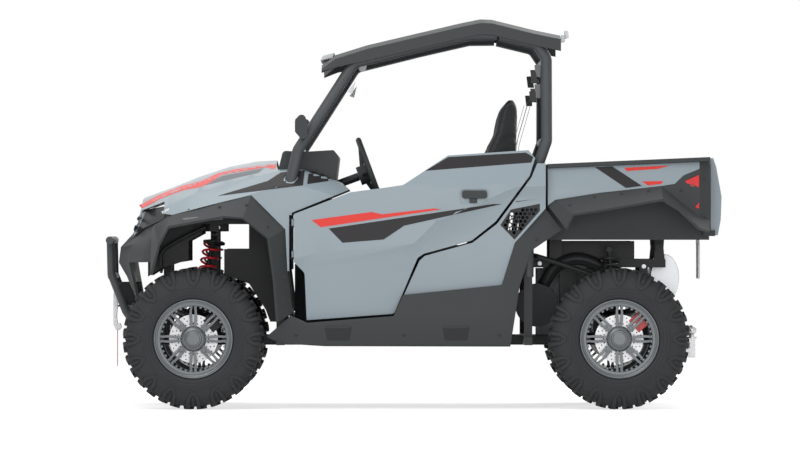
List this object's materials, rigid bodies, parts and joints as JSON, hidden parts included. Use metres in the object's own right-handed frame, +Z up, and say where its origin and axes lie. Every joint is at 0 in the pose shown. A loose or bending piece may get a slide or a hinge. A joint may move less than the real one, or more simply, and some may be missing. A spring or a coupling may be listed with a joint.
{
  "type": "side by side utility vehicle",
  "caption": "Two-seat open side by side utility vehicle with a roofed cage, half doors and a tilting cargo bed.",
  "frame": {"origin": "on the floor under the middle of the vehicle", "axes": "+X forward, +Y to the vehicle's left, +Z up"},
  "size_m": [2.997, 1.58, 1.905],
  "materials": {
    "panel_grey": "gloss moulded-in colour",
    "trim_dark": "grained dark moulding",
    "frame_black": "satin black powder coat",
    "cage_black": "satin dark powder coat",
    "tyre_rubber": "matt",
    "rim_alloy": "machined and dark coated",
    "steel": "cast and machined",
    "alloy_case": "cast",
    "lens_clear": "clear moulded lens",
    "lens_red": "clear red",
    "seat_vinyl": "grained vinyl",
    "spring_red": "gloss powder coat",
    "strap_red": "woven",
    "belt_black": "woven",
    "muffler_steel": "satin stainless",
    "plate_blank": "blank"
  },
  "bodies": {
    "root": {"cab_tub": "trim_dark", "cage_front": "cage_black", "cage_rear": "cage_black", "chassis_frame": "frame_black", "clutch_cover": "trim_dark", "dampers": "frame_black", "dashboard": "trim_dark", "drive_shafts": "steel", "engine_block": "alloy_case", "front_arms": "frame_black", "front_bumper": "cage_black", "front_fascia": "trim_dark", "front_fenders": "panel_grey", "front_flares": "trim_dark", "front_liners": "frame_black", "gear_cases": "alloy_case", "headlamps": "lens_clear", "hood": "panel_grey", "mirrors": "trim_dark", "muffler": "muffler_steel", "rear_arms": "frame_black", "rear_calipers": "spring_red", "rear_knuckles": "steel", "rear_liners": "frame_black", "rear_quarters": "panel_grey", "rockers": "trim_dark", "roof": "trim_dark", "seat_belts": "belt_black", "seat_left": "seat_vinyl", "seat_right": "seat_vinyl", "side_vents": "frame_black", "skid_plate": "trim_dark", "springs": "spring_red", "steering_column": "frame_black", "tow_hitch": "steel", "winch": "frame_black", "winch_hook": "steel", "winch_strap": "strap_red"},
    "knuckle_left": {"front_knuckle_left": "steel", "front_caliper_left": "spring_red"},
    "knuckle_right": {"front_knuckle_right": "steel", "front_caliper_right": "spring_red"},
    "wheel_front_left": {"tyre_front_left": "tyre_rubber", "rim_front_left": "rim_alloy"},
    "wheel_front_right": {"tyre_front_right": "tyre_rubber", "rim_front_right": "rim_alloy"},
    "wheel_rear_left": {"tyre_rear_left": "tyre_rubber", "rim_rear_left": "rim_alloy"},
    "wheel_rear_right": {"tyre_rear_right": "tyre_rubber", "rim_rear_right": "rim_alloy"},
    "rack": {"tie_rods": "steel"},
    "steering_wheel": {"steering_wheel": "trim_dark"},
    "door_left": {"door_left": "panel_grey"},
    "door_right": {"door_right": "panel_grey"},
    "bed": {"cargo_box": "trim_dark", "bed_sides": "panel_grey", "bed_flares": "trim_dark", "tail_lamps": "lens_red", "plate_holder": "plate_blank"},
    "tailgate": {"tailgate": "panel_grey"}
  },
  "joints": [
    {"name": "steer_left", "type": "hinge", "parent": "root", "child": "knuckle_left", "pos_m": [1.058, 0.585, 0.342], "axis": [0, 0, 1], "range_deg": [-30, 30]},
    {"name": "steer_right", "type": "hinge", "parent": "root", "child": "knuckle_right", "pos_m": [1.058, -0.585, 0.342], "axis": [0, 0, 1], "range_deg": [-30, 30]},
    {"name": "steering_rack", "type": "slide", "parent": "root", "child": "rack", "axis": [0, 1, 0], "range_m": [-0.0525, 0.0525]},
    {"name": "steering_turn", "type": "hinge", "parent": "root", "child": "steering_wheel", "pos_m": [0.205, 0.29, 1.15], "axis": [-0.9379, 0, 0.3469], "range_deg": [-300, 300]},
    {"name": "spin_front_left", "type": "hinge", "parent": "knuckle_left", "child": "wheel_front_left", "pos_m": [1.058, 0.66, 0.342], "axis": [0, 1, 0], "continuous": true},
    {"name": "spin_front_right", "type": "hinge", "parent": "knuckle_right", "child": "wheel_front_right", "pos_m": [1.058, -0.66, 0.342], "axis": [0, 1, 0], "continuous": true},
    {"name": "spin_rear_left", "type": "hinge", "parent": "root", "child": "wheel_rear_left", "pos_m": [-0.999, 0.635, 0.342], "axis": [0, 1, 0], "continuous": true},
    {"name": "spin_rear_right", "type": "hinge", "parent": "root", "child": "wheel_rear_right", "pos_m": [-0.999, -0.635, 0.342], "axis": [0, 1, 0], "continuous": true},
    {"name": "door_left_swing", "type": "hinge", "parent": "root", "child": "door_left", "pos_m": [0.577, 0.7, 0.8], "axis": [0, 0, -1], "range_deg": [0, 60]},
    {"name": "door_right_swing", "type": "hinge", "parent": "root", "child": "door_right", "pos_m": [0.577, -0.7, 0.8], "axis": [0, 0, 1], "range_deg": [0, 60]},
    {"name": "bed_tilt", "type": "hinge", "parent": "root", "child": "bed", "pos_m": [-1.206, 0, 0.786], "axis": [0, -1, 0], "range_deg": [0, 45]},
    {"name": "tailgate_drop", "type": "hinge", "parent": "bed", "child": "tailgate", "pos_m": [-1.456, 0, 0.852], "axis": [0, -1, 0], "range_deg": [0, 90]}
  ],
  "couplings": [
    {"joint": "steer_right", "follows": "steer_left", "ratio": 1},
    {"joint": "steering_rack", "follows": "steer_left", "m_per_rad": 0.1},
    {"joint": "steering_turn", "follows": "steer_left", "ratio": 10}
  ]
}
